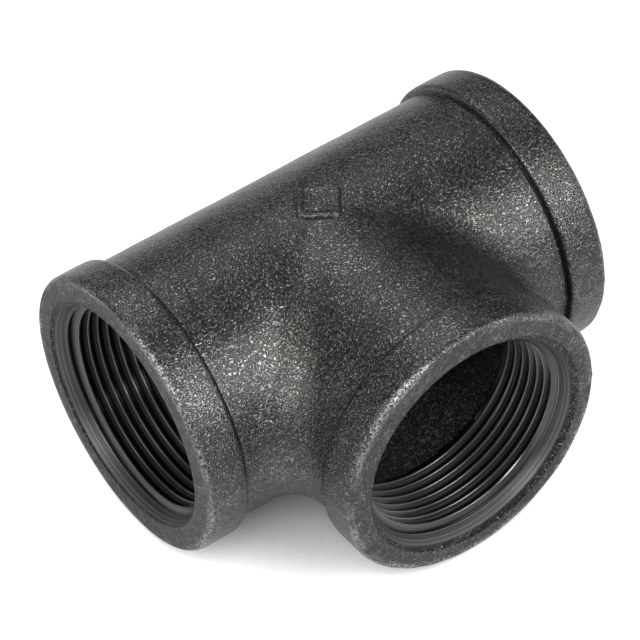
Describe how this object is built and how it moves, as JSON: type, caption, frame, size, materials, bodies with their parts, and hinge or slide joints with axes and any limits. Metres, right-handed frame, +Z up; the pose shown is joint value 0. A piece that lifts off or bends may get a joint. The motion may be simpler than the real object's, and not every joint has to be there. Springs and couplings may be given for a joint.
{
  "type": "threaded pipe tee fitting",
  "caption": "Equal tee for pipe: a straight run and a square branch cast in one piece, with a thick band round each internally threaded socket.",
  "frame": {"origin": "where the axis of the straight run crosses the axis of the branch, in the middle of the fitting", "axes": "+X along the straight run from one run socket to the other, -Y out of the branch socket, +Z square to both; the fitting lies flat on its three bands with +Z up"},
  "size_m": [0.1, 0.0812, 0.0624],
  "materials": {
    "black_iron": "black as-cast, lightly oiled"
  },
  "bodies": {
    "root": {"tee_body": "black_iron"}
  },
  "joints": []
}
